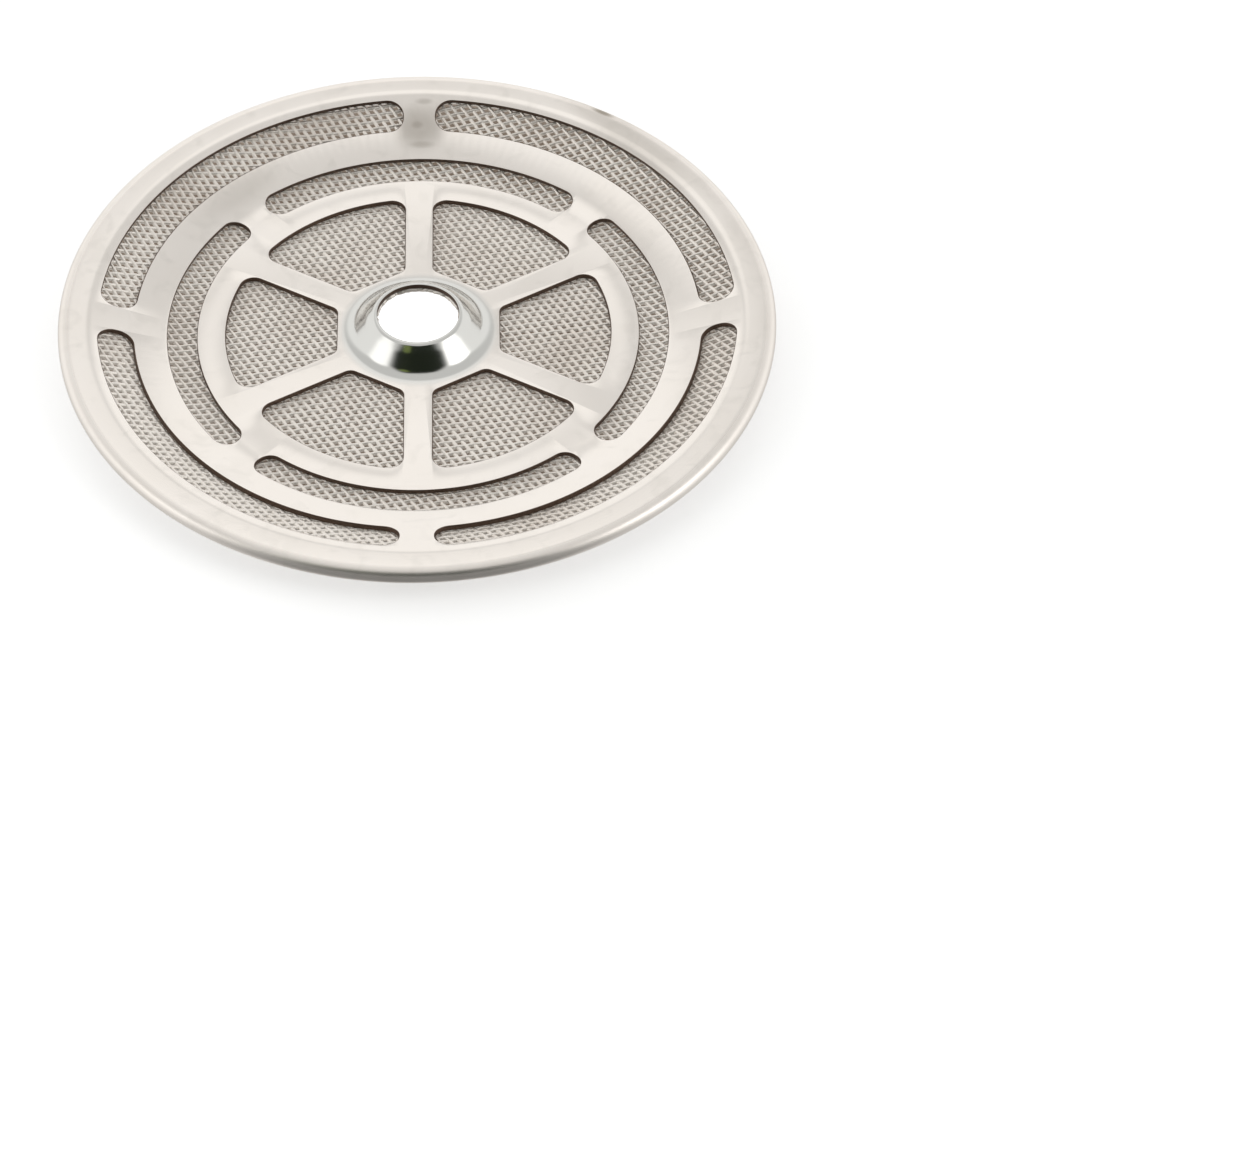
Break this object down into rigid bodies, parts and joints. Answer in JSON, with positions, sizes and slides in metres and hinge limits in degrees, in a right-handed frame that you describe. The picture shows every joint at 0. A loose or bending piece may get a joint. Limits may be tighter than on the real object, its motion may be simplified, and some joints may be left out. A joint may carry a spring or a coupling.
{
  "type": "espresso shower screen",
  "caption": "Round stainless screen that spreads brew water: a dished sheet frame with slots, windows and a raised screw boss, and a woven wire disc held by its folded hem.",
  "frame": {"origin": "on the screw hole's axis, at the lowest face of the wire disc", "axes": "+Z along the screw hole, from the wire disc to the frame; +X and +Y through the bridges between the outer slots"},
  "size_m": [0.057, 0.057, 0.0031],
  "materials": {
    "stamped_stainless": "satin rolled sheet, bright on the pressed boss",
    "woven_stainless": "plain weave of drawn wire"
  },
  "bodies": {
    "root": {"frame_plate": "stamped_stainless", "mesh_disc": "woven_stainless"}
  },
  "joints": []
}
